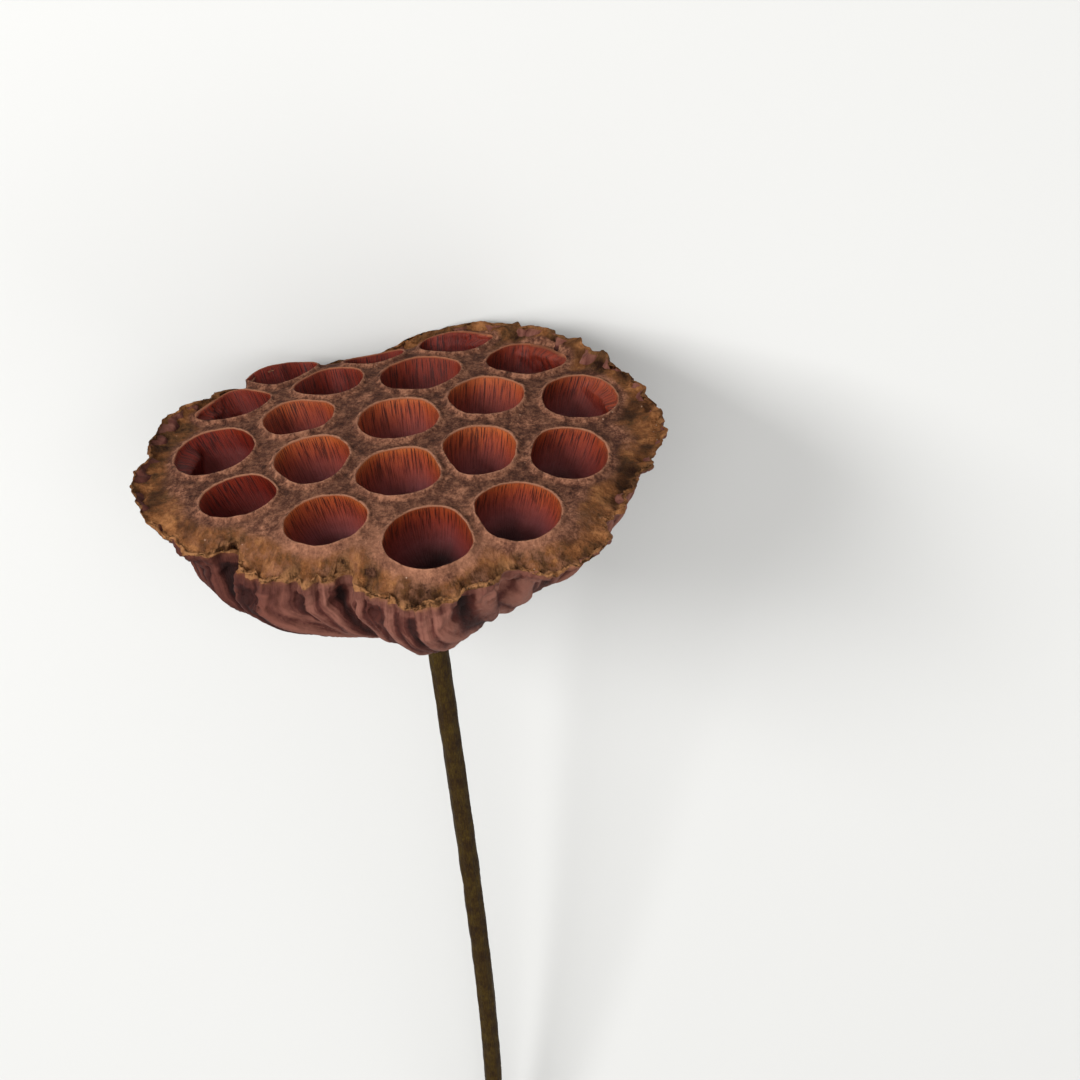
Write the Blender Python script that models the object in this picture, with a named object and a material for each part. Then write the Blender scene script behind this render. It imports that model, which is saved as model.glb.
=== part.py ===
"""A dried lotus pod on its cut stem, lying on its side.

It has two pieces. The pod head is one woody body: a low domed face with twenty open seed cells, a thin
ruffled rim, and a pleated underside that narrows to a neck. The stem stands in the socket under the neck.

The pod is drawn in its own frame, in millimetres: +Z points out of the face, +X across it, and the middle of
the face is the origin. It is then laid down on the plane z = 0, in metres. There it rests on two crests of
the rim and on the cut end of the stem.
"""

import functools
import math
import random

import bmesh
import bpy
from mathutils import Matrix, Vector
from mathutils.geometry import delaunay_2d_cdt

MM = 0.001

# The rim and the wall under it, at even steps round the face, anticlockwise from +X.
# Each station holds the rim's radius, the rim's height and the wall's radius.
STATIONS = (
    (58.0, -3.0, 49.0),
    (58.0, -2.5, 50.5),
    (58.5, -2.0, 52.5),
    (58.5, -1.5, 54.0),
    (59.5, -2.5, 54.5),
    (59.5, -4.5, 55.0),
    (60.0, -9.0, 55.5),
    (60.5, -11.0, 55.5),
    (60.5, -9.0, 55.0),
    (59.0, -4.5, 54.0),
    (60.0, -2.5, 52.0),
    (59.0, -3.0, 49.5),
    (56.5, -4.5, 47.5),
    (50.5, -7.0, 46.0),
    (44.5, -7.5, 44.5),
    (42.5, -7.5, 42.5),
    (39.5, -6.5, 38.5),
    (40.5, -7.5, 39.5),
    (46.5, -7.8, 46.0),
    (45.5, -6.8, 42.0),
    (48.5, -7.5, 39.0),
    (54.0, -6.5, 39.5),
    (51.5, -5.0, 42.5),
    (53.0, -4.5, 45.5),
)

# The face: a low dome that falls away more steeply towards one side of the rim.
DOME = 0.0027
DROOP_ANGLE = math.radians(95)
DROOP_START = 38.0
DROOP = 0.0134
DROOP_NARROWNESS = 12
# Where the lips of the outermost cells stand up: angle, height and width, in degrees and millimetres.
CRESTS = ((73.0, 1.8, 10.0), (115.0, 2.2, 10.0))
CREST_START = 47.0
CREST_RUN = 8.0
FLANGE_BLEND = 8.0
TOP_EDGE_INSET = 2.0

# The seed cells: each one's middle on the face, and its half width along X and half depth along Y.
CELLS = (
    (16.8, 49.0, 8.9, 6.0),
    (31.4, 35.8, 9.1, 8.0),
    (-23.0, 48.2, 9.0, 7.4),
    (-12.5, 37.8, 8.4, 8.0),
    (-1.8, 48.5, 7.5, 5.5),
    (7.8, 34.6, 9.5, 8.6),
    (21.1, 20.6, 8.9, 8.9),
    (41.0, 16.7, 8.5, 9.8),
    (-34.0, 35.6, 9.2, 6.8),
    (-20.1, 23.4, 8.2, 8.2),
    (1.6, 15.2, 9.2, 9.1),
    (17.4, -1.8, 8.6, 9.9),
    (35.9, -6.0, 8.5, 10.2),
    (-38.8, 16.3, 9.2, 9.4),
    (-18.2, 4.6, 8.6, 10.0),
    (0.0, -5.8, 9.9, 9.3),
    (-34.4, -3.6, 8.7, 7.6),
    (-16.7, -18.6, 9.1, 8.7),
    (4.0, -30.2, 9.8, 10.4),
    (22.8, -25.0, 9.4, 10.3),
)
WEB = 2.1
LIP_TO_TOP_EDGE = 1.8
CORNER_SHARPNESS = 8
LEAST_REACH = 1.0
MOST_REACH = 20.0
REACH_STEPS = 12
COLLAR_WIDTH = 1.1
COLLAR_FALL = 0.7
CELL_DEPTH = 15.5
SHALLOWER_AT_RIM = 4.0
CELLS_AIM_AT = Vector((0.0, 0.0, -105.0))
# Depth and width of each ring of a cell's wall, as shares of its depth and of its opening.
CELL_WALL = ((0.12, 1.0), (0.4, 0.98), (0.7, 0.86), (0.9, 0.62))

# The underside: share of the way down from the rim to the neck, and share of the wall's radius there.
UNDERSIDE = (
    (0.0, 1.01),
    (0.11, 0.995),
    (0.21, 0.965),
    (0.31, 0.915),
    (0.42, 0.84),
    (0.52, 0.755),
    (0.63, 0.64),
    (0.73, 0.525),
    (0.82, 0.41),
    (0.92, 0.28),
)
UNDERSIDE_TOP = -13.0
RIM_THICKNESS = 1.3
RIM_LOWER_INSET = 0.5
UNDERCUT_DROP = 3.2
UNDERCUT = 0.5
WALL_TOP_BELOW_RIM = 5.1
WALL = 1.6
CELL_DRAWN_IN = 0.93
CELL_DRAWN_STEPS = 16
NECK_AT = (2.5, 0.0)
# Radius and height of each ring of the neck.
NECK = ((7.6, -39.5), (5.0, -42.0), (3.9, -45.5))

# The pleats run from the rim to the neck, unevenly spaced, and lean over on the way down.
PLEATS = 25
PLEAT_DEPTH = 2.6
PLEAT_FADE = 0.6
PLEAT_AT_RIM = 0.9
PLEAT_LIFTS_RIM = 0.7
PLEAT_MEAN = 0.6
PLEAT_SHARPNESS = 0.75
LEAST_PLEAT = 0.55
MOST_PLEAT = 1.15
# How the pleats' spacing wanders: times round, size in pleats, and start in radians.
PLEAT_WANDER = ((3, 0.5, 0.7), (5, 0.3, 2.1))
# How far the pleats lean, in pleats: everywhere, and more towards one side.
PLEAT_LEAN = 1.1
PLEAT_LEANS_MORE = 1.4
PLEAT_LEANS_AT = math.radians(185)
# Deep folds that pinch the rim inwards: angle, depth at the rim and width, in degrees and millimetres.
PINCHES = (
    (205.0, 5.0, 4.0),
    (228.0, 2.5, 3.0),
    (246.0, 5.0, 4.0),
    (296.0, 4.5, 3.5),
    (325.0, 2.0, 3.0),
    (35.0, 1.8, 4.0),
    (91.0, 2.8, 7.0),
    (160.0, 2.2, 3.5),
)
PINCH_BELOW_RIM = 0.85

# The stem, from the socket to its cut end.
STEM_RADIUS_TOP = 2.35
STEM_RADIUS_END = 1.95
STEM_LENGTH = 200.0
STEM_IN_SOCKET = 4.6
STEM_BEND_X = -8.0
STEM_BENDS_LATE = 4
STEM_BEND_Y = 6.0
STEM_POINTS = 26
STEM_ROUNDNESS = 4
GAP = 0.3

# How the pod lies: the tilt of its axis, its turn about that axis, and where the middle of its face is.
LIE_TILT = math.radians(12.4)
LIE_TURN = math.radians(7.0)
FACE_AT = Vector((112.66, -0.3, 58.2))

RIM_COLUMNS = 144
NECK_COLUMNS = 36
CELL_COLUMNS = 20
FACE_REACH = 62.0
NET_STEP = 4.4
NET_MARGIN = 1.7

HEAD_COLOUR = (0.16, 0.075, 0.05, 1.0)
HEAD_ROUGHNESS = 0.75
STEM_COLOUR = (0.11, 0.09, 0.03, 1.0)
STEM_ROUGHNESS = 0.6
SHARP_EDGE = math.radians(50)


def smooth_step(t):
    """0 below 0, 1 above 1, and a smooth rise between."""
    t = min(1.0, max(0.0, t))
    return t * t * (3 - 2 * t)


def station(angle, column):
    """One column of STATIONS at an angle, on a smooth closed curve through the stations."""
    place = angle / math.tau * len(STATIONS)
    first = math.floor(place)
    t = place - first
    a, b, c, d = (STATIONS[(first + k) % len(STATIONS)][column] for k in (-1, 0, 1, 2))
    return b + 0.5 * t * (c - a + t * (2 * a - 5 * b + 4 * c - d + t * (3 * (b - c) + d - a)))


def swell(angle, places):
    """The sum at an angle of smooth bumps, each with its angle and width in degrees and its size."""
    total = 0.0
    for degrees, size, width in places:
        away = math.degrees(math.remainder(angle - math.radians(degrees), math.tau))
        total += size * math.exp(-((away / width) ** 2))
    return total


def lean(angle, down):
    """How far the pleats have leaned over, in pleats, at a share of the way down to the neck."""
    return down * (PLEAT_LEAN + PLEAT_LEANS_MORE * math.cos(angle - PLEAT_LEANS_AT))


def pleat(angle, down):
    """How far a pleat stands out, from 0 in a crease to about 1 on a ridge; down runs from rim to neck."""
    place = PLEATS * angle / math.tau - lean(angle, down)
    place += sum(size * math.sin(times * angle + start) for times, size, start in PLEAT_WANDER)
    size = random.Random(math.floor(place) % PLEATS).uniform(LEAST_PLEAT, MOST_PLEAT)
    return size * abs(math.sin(math.pi * place)) ** PLEAT_SHARPNESS


def dome_height(x, y):
    """Height of the domed face that the cells' lips lie on."""
    radius = math.hypot(x, y)
    angle = math.atan2(y, x)
    droop = DROOP * max(0.0, math.cos(angle - DROOP_ANGLE)) ** DROOP_NARROWNESS
    crest = swell(angle, CRESTS) * smooth_step((radius - CREST_START) / CREST_RUN)
    return -0.5 * DOME * radius**2 - droop * max(0.0, radius - DROOP_START) ** 2 + crest


def face_height(x, y):
    """Height of the skin between the cells, a little below their lips, and of the flange at the rim."""
    angle = math.atan2(y, x)
    skin = dome_height(x, y) - COLLAR_FALL
    to_rim = smooth_step((math.hypot(x, y) - station(angle, 0)) / FLANGE_BLEND + 1)
    return skin + (station(angle, 1) - skin) * to_rim


def room_to_rim(middle, heading):
    """How far a cell's opening may reach from its middle before it comes too near the rim."""
    near, far = LEAST_REACH, MOST_REACH
    for _ in range(REACH_STEPS):
        reach = (near + far) / 2
        point = middle + heading * reach
        rim = rim_point(math.atan2(point.y, point.x), TOP_EDGE_INSET + LIP_TO_TOP_EDGE, 0.0)
        if point.length < rim.to_2d().length:
            near = reach
        else:
            far = reach
    return near


def oval_radius(cell, heading):
    """Radius of the oval that a cell would fill if nothing stood in its way."""
    _, _, half_width, half_depth = CELLS[cell]
    return 1 / math.hypot(heading.x / half_width, heading.y / half_depth)


@functools.lru_cache(maxsize=None)
def opening_radius(cell, column):
    """Radius of a cell's opening: an oval that keeps its distance to its neighbours and to the rim."""
    angle = math.tau * column / CELL_COLUMNS
    heading = Vector((math.cos(angle), math.sin(angle)))
    middle = Vector(CELLS[cell][:2])
    limits = [1 / oval_radius(cell, heading), 1 / room_to_rim(middle, heading)]
    for other, place in enumerate(CELLS):
        if other != cell:
            away = Vector(place[:2]) - middle
            towards = away.normalized()
            own = oval_radius(cell, towards)
            distance = away.length * own / (own + oval_radius(other, towards)) - WEB / 2
            limits.append(max(0.0, heading.dot(towards)) / distance)
    return sum(limit**CORNER_SHARPNESS for limit in limits) ** (-1 / CORNER_SHARPNESS)


def edges_of(bm, ring):
    """The edges round a ring."""
    return [bm.edges.get((a, b)) for a, b in zip(ring, ring[1:] + ring[:1])]


def extruded(bm, ring):
    """A new ring extruded from this one, in the same order and place."""
    made = bmesh.ops.extrude_edge_only(bm, edges=edges_of(bm, ring))["geom"]
    new = {item for item in made if isinstance(item, bmesh.types.BMVert)}
    return [next(e.other_vert(v) for e in v.link_edges if e.other_vert(v) in new) for v in ring]


def close_to_point(bm, ring, point):
    """Closes a ring with a fan of faces to one point."""
    tip = extruded(bm, ring)
    bmesh.ops.pointmerge(bm, verts=tip, merge_co=point)


def opening_point(cell, column, grown):
    """A point of a cell's outline across the face, grown by a margin."""
    angle = math.tau * column / CELL_COLUMNS
    heading = Vector((math.cos(angle), math.sin(angle)))
    return Vector(CELLS[cell][:2]) + heading * (opening_radius(cell, column) + grown)


def in_cell(point, grown):
    """Whether a point of the face lies in a cell's opening, grown by a margin."""
    for cell, place in enumerate(CELLS):
        away = point - Vector(place[:2])
        column = round(math.atan2(away.y, away.x) / math.tau * CELL_COLUMNS) % CELL_COLUMNS
        if away.length < opening_radius(cell, column) + grown:
            return True
    return False


def net_points():
    """Points between the cells that keep the face's triangles small."""
    points = []
    rows = round(2 * FACE_REACH / NET_STEP)
    for row in range(rows):
        for column in range(rows):
            x = -FACE_REACH + (column + 0.5 * (row % 2)) * NET_STEP
            y = -FACE_REACH + row * NET_STEP * math.sqrt(0.75)
            point = Vector((x, y))
            inside = point.length < station(math.atan2(y, x), 0) - TOP_EDGE_INSET - NET_MARGIN
            if inside and not in_cell(point, COLLAR_WIDTH + NET_MARGIN):
                points.append(point)
    return points


def face_net(bm):
    """The skin between the rim and the cells; returns its outer ring, and then a ring for each collar."""
    rings = []
    steps = [math.tau * column / RIM_COLUMNS for column in range(RIM_COLUMNS)]
    rings.append([rim_point(angle, TOP_EDGE_INSET, 0.0).to_2d() for angle in steps])
    for cell in range(len(CELLS)):
        rings.append([opening_point(cell, column, COLLAR_WIDTH) for column in range(CELL_COLUMNS)])
    points = []
    loops = []
    for ring in rings:
        loops.append(range(len(points), len(points) + len(ring)))
        points += ring
    points += net_points()
    places, _, faces, origins, _, inside = delaunay_2d_cdt(points, [], loops, 0, 1e-5)
    verts = [bm.verts.new((x, y, face_height(x, y))) for x, y in places]
    vert_of = {point: vert for vert, origin in zip(verts, origins) for point in origin}
    for face, held_by in zip(faces, inside):
        if held_by == [0]:
            bm.faces.new([verts[index] for index in face])
    return [[vert_of[point] for point in loop] for loop in loops]


def rim_point(angle, inset, drop):
    """A point of the rim's edge, inset from the outline and dropped below it."""
    wave = PLEAT_AT_RIM * (pleat(angle, 0.0) - PLEAT_MEAN)
    radius = station(angle, 0) + wave - swell(angle, PINCHES) - inset
    height = station(angle, 1) - drop + PLEAT_LIFTS_RIM * wave
    return Vector((radius * math.cos(angle), radius * math.sin(angle), height))


def underside_point(angle, down, share):
    """A point of the pleated underside."""
    depth = PLEAT_DEPTH * (1 - down) ** PLEAT_FADE
    radius = station(angle, 2) * share + depth * (pleat(angle, down) - PLEAT_MEAN)
    radius -= swell(angle - lean(angle, down) * math.tau / PLEATS, PINCHES) * PINCH_BELOW_RIM * (1 - down)
    middle = Vector(NECK_AT) * smooth_step(down)
    top = min(UNDERSIDE_TOP, station(angle, 1) - RIM_THICKNESS - WALL_TOP_BELOW_RIM)
    height = top + (NECK[0][1] - top) * down
    return Vector((middle.x + radius * math.cos(angle), middle.y + radius * math.sin(angle), height))


@functools.lru_cache(maxsize=None)
def outside(column):
    """The outer skin down one column: the rim's edge, the hollow under it, and the pleated underside."""
    angle = math.tau * column / RIM_COLUMNS
    edge = rim_point(angle, RIM_LOWER_INSET, RIM_THICKNESS)
    wall = [underside_point(angle, down, share) for down, share in UNDERSIDE]
    under_edge = edge.lerp(wall[0], UNDERCUT)
    under_edge.z = edge.z - UNDERCUT_DROP
    return [rim_point(angle, 0.0, 0.0), edge, under_edge, *wall]


def too_near_skin(point):
    """Whether a point of a cell's wall comes within WALL of the outer skin."""
    nearest = round(math.atan2(point.y, point.x) / math.tau * RIM_COLUMNS)
    for column in range(nearest - 2, nearest + 3):
        skin = outside(column % RIM_COLUMNS)
        for upper, lower in zip(skin, skin[1:]):
            if lower.z - WALL <= point.z <= upper.z + WALL:
                room = min(upper.to_2d().length, lower.to_2d().length) - WALL
                if point.to_2d().length > room:
                    return True
    return False


def hollow_cell(bm, cell, collar):
    """Extrudes a cell's collar inwards to its lip, and then down its wall to its floor."""
    x, y = CELLS[cell][:2]
    middle = Vector((x, y, dome_height(x, y)))
    aim = (CELLS_AIM_AT - middle).normalized()
    depth = CELL_DEPTH - SHALLOWER_AT_RIM * (math.hypot(x, y) / 50) ** 2
    lip = extruded(bm, collar)
    spokes = []
    for column, vert in enumerate(lip):
        edge = opening_point(cell, column, 0.0)
        vert.co = (edge.x, edge.y, dome_height(edge.x, edge.y))
        spokes.append(vert.co - middle)
    ring = lip
    for down, width in CELL_WALL:
        ring = extruded(bm, ring)
        for vert, spoke in zip(ring, spokes):
            reach = width
            for _ in range(CELL_DRAWN_STEPS):
                if too_near_skin(middle + aim * depth * down + spoke * reach):
                    reach *= CELL_DRAWN_IN
            vert.co = middle + aim * depth * down + spoke * reach
    floor = sum((vert.co for vert in ring), Vector()) / len(ring)
    close_to_point(bm, ring, floor + aim * depth * (1 - CELL_WALL[-1][0]))


def neck_point(column, level):
    """A point of the neck, or of the socket in its end."""
    radius, height = level
    angle = math.tau * column / NECK_COLUMNS
    return Vector((NECK_AT[0] + radius * math.cos(angle), NECK_AT[1] + radius * math.sin(angle), height))


def shape_rim_and_underside(bm, outer):
    """Extrudes the face's edge over the rim, down the pleated underside and into the stem's socket."""
    ring = outer
    for level in range(len(outside(0))):
        ring = extruded(bm, ring)
        for column, vert in enumerate(ring):
            vert.co = outside(column)[level]
    foot = NECK[-1][1]
    socket = STEM_RADIUS_TOP + GAP
    end = foot + STEM_IN_SOCKET + GAP
    first, *levels = *NECK, (socket, foot), (socket, end)
    neck = bmesh.ops.create_circle(bm, cap_ends=False, segments=NECK_COLUMNS, radius=1.0)["verts"]
    for column, vert in enumerate(neck):
        vert.co = neck_point(column, first)
    bmesh.ops.bridge_loops(bm, edges=edges_of(bm, ring) + edges_of(bm, neck))
    for level in levels:
        neck = extruded(bm, neck)
        for column, vert in enumerate(neck):
            vert.co = neck_point(column, level)
    close_to_point(bm, neck, Vector((*NECK_AT, end)))


def lay_down():
    """The matrix from the pod's own frame, in millimetres, to the plane it lies on, in metres."""
    # The pod's +Y is down and its axis points along +X, raised by LIE_TILT.
    onto_side = Matrix(((0, 0, 1), (-1, 0, 0), (0, -1, 0))).to_4x4()
    raised = Matrix.Rotation(-LIE_TILT, 4, "Y")
    turned = Matrix.Rotation(LIE_TURN, 4, "Z")
    return Matrix.Scale(MM, 4) @ Matrix.Translation(FACE_AT) @ raised @ onto_side @ turned


def rest_on_plane(mesh):
    """Flattens what would reach below the plane that the pod lies on."""
    for vert in mesh.vertices:
        vert.co.z = max(0.0, vert.co.z)


def material(name, colour, roughness):
    """A plain finish in one colour."""
    made = bpy.data.materials.new(name)
    made.use_nodes = True
    shader = made.node_tree.nodes["Principled BSDF"]
    shader.inputs["Base Color"].default_value = colour
    shader.inputs["Roughness"].default_value = roughness
    shader.inputs["Metallic"].default_value = 0.0
    return made


def add_object(name, mesh, finish):
    """Puts a finished mesh in the scene as one named object."""
    mesh.materials.append(finish)
    obj = bpy.data.objects.new(name, mesh)
    bpy.context.scene.collection.objects.link(obj)
    return obj


def pod_head():
    """The seed head: face, cells, rim, pleated underside, neck and socket, in one closed mesh."""
    bm = bmesh.new()

    outer, *collars = face_net(bm)
    for cell, collar in enumerate(collars):
        hollow_cell(bm, cell, collar)
    shape_rim_and_underside(bm, outer)
    bmesh.ops.triangulate(bm, faces=bm.faces)
    bmesh.ops.recalc_face_normals(bm, faces=bm.faces)
    bm.transform(lay_down())
    mesh = bpy.data.meshes.new("pod_head")
    bm.to_mesh(mesh)
    bm.free()
    rest_on_plane(mesh)
    mesh.shade_smooth()
    mesh.set_sharp_from_angle(angle=SHARP_EDGE)
    return add_object("pod_head", mesh, material("dried_pod", HEAD_COLOUR, HEAD_ROUGHNESS))


def stem():
    """The stem: a slim tube with a gentle bend, from inside the socket to its cut end."""
    curve = bpy.data.curves.new("stem", "CURVE")
    curve.dimensions = "3D"
    curve.bevel_depth = 1.0
    curve.bevel_resolution = STEM_ROUNDNESS
    curve.use_fill_caps = True
    line = curve.splines.new("POLY")
    line.points.add(STEM_POINTS - 1)
    top = NECK[-1][1] + STEM_IN_SOCKET
    for index, point in enumerate(line.points):
        t = index / (STEM_POINTS - 1)
        x = NECK_AT[0] + STEM_BEND_X * t**STEM_BENDS_LATE
        y = NECK_AT[1] + STEM_BEND_Y * t * t
        point.co = (x, y, top - STEM_LENGTH * t, 1.0)
        point.radius = STEM_RADIUS_TOP + (STEM_RADIUS_END - STEM_RADIUS_TOP) * t
    tube = bpy.data.objects.new("stem_line", curve)
    mesh = bpy.data.meshes.new_from_object(tube)
    mesh.name = "stem"
    bpy.data.objects.remove(tube)
    mesh.transform(lay_down())
    rest_on_plane(mesh)
    mesh.shade_smooth()
    mesh.set_sharp_from_angle(angle=SHARP_EDGE)
    return add_object("stem", mesh, material("dried_stem", STEM_COLOUR, STEM_ROUGHNESS))


for old in list(bpy.data.objects):
    bpy.data.objects.remove(old)
pod_head()
stem()
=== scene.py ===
"""The looks of a dried lotus pod that lies on its side on a pale surface.

The pod's own frame is in millimetres: +Z points out of its face, +X across it, and the middle of the face is
the origin. Shapes are made in that frame and then laid down, in metres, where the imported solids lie.
"""

import logging
import math
import random
from collections.abc import Iterable
from dataclasses import dataclass, field
from enum import Enum

import bmesh
import bpy
from mathutils import Matrix, Vector, noise
from mathutils.geometry import delaunay_2d_cdt


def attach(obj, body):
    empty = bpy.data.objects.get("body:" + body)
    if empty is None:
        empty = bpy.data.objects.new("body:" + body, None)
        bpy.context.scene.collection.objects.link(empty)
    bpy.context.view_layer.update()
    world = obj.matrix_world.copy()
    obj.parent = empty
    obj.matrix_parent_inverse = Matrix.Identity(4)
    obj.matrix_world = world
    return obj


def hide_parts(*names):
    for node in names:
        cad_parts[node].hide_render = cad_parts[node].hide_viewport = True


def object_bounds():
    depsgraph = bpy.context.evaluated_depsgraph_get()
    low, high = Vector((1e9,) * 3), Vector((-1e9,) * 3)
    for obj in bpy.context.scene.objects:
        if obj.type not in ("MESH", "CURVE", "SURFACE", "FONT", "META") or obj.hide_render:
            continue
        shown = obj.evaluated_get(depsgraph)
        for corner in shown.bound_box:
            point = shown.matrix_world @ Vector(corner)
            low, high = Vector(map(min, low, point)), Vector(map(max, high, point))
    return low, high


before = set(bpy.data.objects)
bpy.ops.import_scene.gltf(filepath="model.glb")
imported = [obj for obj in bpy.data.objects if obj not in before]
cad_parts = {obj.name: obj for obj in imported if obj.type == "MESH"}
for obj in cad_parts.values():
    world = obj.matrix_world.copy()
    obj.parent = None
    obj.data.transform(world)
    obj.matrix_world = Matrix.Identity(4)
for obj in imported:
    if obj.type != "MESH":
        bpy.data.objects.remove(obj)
solid_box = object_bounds()

log = logging.getLogger("lotus_pod")

MM = 0.001
BODY = "root"
Colour = tuple[float, float, float, float]
Socket = bpy.types.NodeSocket
Vert = bmesh.types.BMVert
Ring = list[Vert]


def smooth_step(t: float) -> float:
    """0 below 0, 1 above 1, and a smooth rise between."""
    t = min(1.0, max(0.0, t))
    return t * t * (3 - 2 * t)


def curve_through(values: list[float], place: float) -> float:
    """Reads a smooth curve through evenly spaced values.

    Args:
        values: The values, from place 0 on.
        place: Where to read, from 0 to the last value's index.

    Returns:
        The curve's value there.
    """
    first = min(len(values) - 2, max(0, math.floor(place)))
    t = place - first
    last = len(values) - 1
    a, b, c, d = (values[min(last, max(0, first + k))] for k in (-1, 0, 1, 2))
    return b + 0.5 * t * (c - a + t * (2 * a - 5 * b + 4 * c - d + t * (3 * (b - c) + d - a)))


class Zone(Enum):
    """The kinds of surface on the pod head; the value is the material's place on the piece."""

    FACE = 0
    WALL = 1
    UNDERSIDE = 2


@dataclass(frozen=True)
class Lie:
    """How the pod lies: on two crests of its rim and on the end of its stem."""

    tilt: float = math.radians(12.4)
    turn: float = math.radians(7.0)
    face_at: Vector = field(default_factory=lambda: Vector((112.66, -0.3, 58.2)))

    def matrix(self) -> Matrix:
        """The matrix from the pod's own frame, in millimetres, to the surface it lies on, in metres."""
        onto_side = Matrix(((0, 0, 1), (-1, 0, 0), (0, -1, 0))).to_4x4()
        raised = Matrix.Rotation(-self.tilt, 4, "Y")
        turned = Matrix.Rotation(self.turn, 4, "Z")
        return Matrix.Scale(MM, 4) @ Matrix.Translation(self.face_at) @ raised @ onto_side @ turned


class NodeSheet:
    """A material's node tree, with short calls that add and join its nodes."""

    def __init__(self, name: str) -> None:
        """Starts a material with only its Principled shader."""
        self.material = bpy.data.materials.new(name)
        self.material.use_nodes = True
        self.tree = self.material.node_tree
        self.shader = self.tree.nodes["Principled BSDF"]
        self.place = self.add("ShaderNodeTexCoord").outputs["Object"]

    def add(self, kind: str, **settings: object) -> bpy.types.Node:
        """Adds a node and sets its plain settings."""
        node = self.tree.nodes.new(kind)
        for name, value in settings.items():
            setattr(node, name, value)
        return node

    def feed(self, node: bpy.types.Node, **inputs: object) -> bpy.types.Node:
        """Fills a node's inputs, each with a value or with another node's output.

        Args:
            node: The node to feed.
            **inputs: Values by the input's name, with _ for a space, or by i and its index.

        Returns:
            The same node.
        """
        for name, value in inputs.items():
            key = int(name[1:]) if name[0] == "i" and name[1:].isdigit() else name.replace("_", " ")
            if isinstance(value, Socket):
                self.tree.links.new(value, node.inputs[key])
            else:
                node.inputs[key].default_value = value
        return node

    def mark(self, name: str) -> Socket:
        """The number that the mesh carries under a name at each point."""
        return self.add("ShaderNodeAttribute", attribute_name=name).outputs["Fac"]

    def maths(self, operation: str, first: object, second: object) -> Socket:
        """The result of one operation on two numbers."""
        node = self.add("ShaderNodeMath", operation=operation)
        return self.feed(node, i0=first, i1=second).outputs[0]

    def times(self, first: object, second: object) -> Socket:
        """The product of two numbers."""
        return self.maths("MULTIPLY", first, second)

    def plus(self, first: object, second: object) -> Socket:
        """The sum of two numbers."""
        return self.maths("ADD", first, second)

    def centred(self, texture: object) -> Socket:
        """A texture's value moved so that its mean, one half, becomes 0."""
        return self.maths("SUBTRACT", texture, 0.5)

    def vector(self, x: object, y: object, z: object) -> Socket:
        """A vector of three numbers."""
        return self.feed(self.add("ShaderNodeCombineXYZ"), X=x, Y=y, Z=z).outputs[0]

    def noise(self, at: object, fineness: float, detail: float, roughness: float) -> Socket:
        """Noise read at a vector."""
        node = self.add("ShaderNodeTexNoise")
        self.feed(node, Vector=at, Scale=fineness, Detail=detail, Roughness=roughness)
        return node.outputs["Fac"]

    def grain(self, size: float, detail: float, roughness: float) -> Socket:
        """Noise whose largest grains are about a size in millimetres."""
        return self.noise(self.place, 1 / (size * MM), detail, roughness)

    def rays(self, fineness: float, along: float) -> Socket:
        """Noise drawn out along the lines that run from the middle of the face to its rim."""
        spot = self.vector(self.mark("x"), self.mark("y"), 0.0)
        reach = self.feed(self.add("ShaderNodeVectorMath", operation="LENGTH"), i0=spot).outputs["Value"]
        heading = self.feed(self.add("ShaderNodeVectorMath", operation="NORMALIZE"), i0=spot).outputs[0]
        spread = self.add("ShaderNodeVectorMath", operation="SCALE")
        self.feed(spread, i0=heading, Scale=fineness)
        outward = self.vector(0.0, 0.0, self.times(reach, along))
        at = self.feed(self.add("ShaderNodeVectorMath", operation="ADD"), i0=spread.outputs[0], i1=outward)
        return self.noise(at.outputs[0], 1.0, 6.0, 0.56)

    def ramp(self, value: object, *stops: tuple[float, Colour]) -> Socket:
        """A colour ramp read at a value."""
        node = self.feed(self.add("ShaderNodeValToRGB"), Fac=value)
        elements = node.color_ramp.elements
        while len(elements) < len(stops):
            elements.new(0.5)
        for element, (position, colour) in zip(elements, stops):
            element.position = position
            element.color = colour
        return node.outputs["Color"]

    def steps(self, value: object, low: float, high: float) -> Socket:
        """A smooth 0 to 1 as a value goes from low to high; high may be the smaller."""
        node = self.add("ShaderNodeMapRange", interpolation_type="SMOOTHSTEP")
        self.feed(node, Value=value, From_Min=min(low, high), From_Max=max(low, high))
        if high < low:
            self.feed(node, To_Min=1.0, To_Max=0.0)
        return node.outputs["Result"]

    def blend(self, share: object, first: object, second: object, how: str = "MIX") -> Socket:
        """One colour blended into another."""
        node = self.add("ShaderNodeMix", data_type="RGBA", blend_type=how)
        return self.feed(node, i0=share, i6=first, i7=second).outputs[2]

    def coat(self, colour: object, roughness: float, specular: float) -> None:
        """Sets the shader's colour and how it shines."""
        self.feed(self.shader, Base_Color=colour, Roughness=roughness, Specular_IOR_Level=specular)

    def bump(self, *layers: tuple[object, float]) -> None:
        """Lays bump on the shader; each layer is a height and its depth in millimetres."""
        normal = None
        for height, depth in layers:
            node = self.feed(self.add("ShaderNodeBump"), Height=height, Strength=1.0, Distance=depth * MM)
            if normal is not None:
                self.feed(node, Normal=normal)
            normal = node.outputs["Normal"]
        self.feed(self.shader, Normal=normal)


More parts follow.
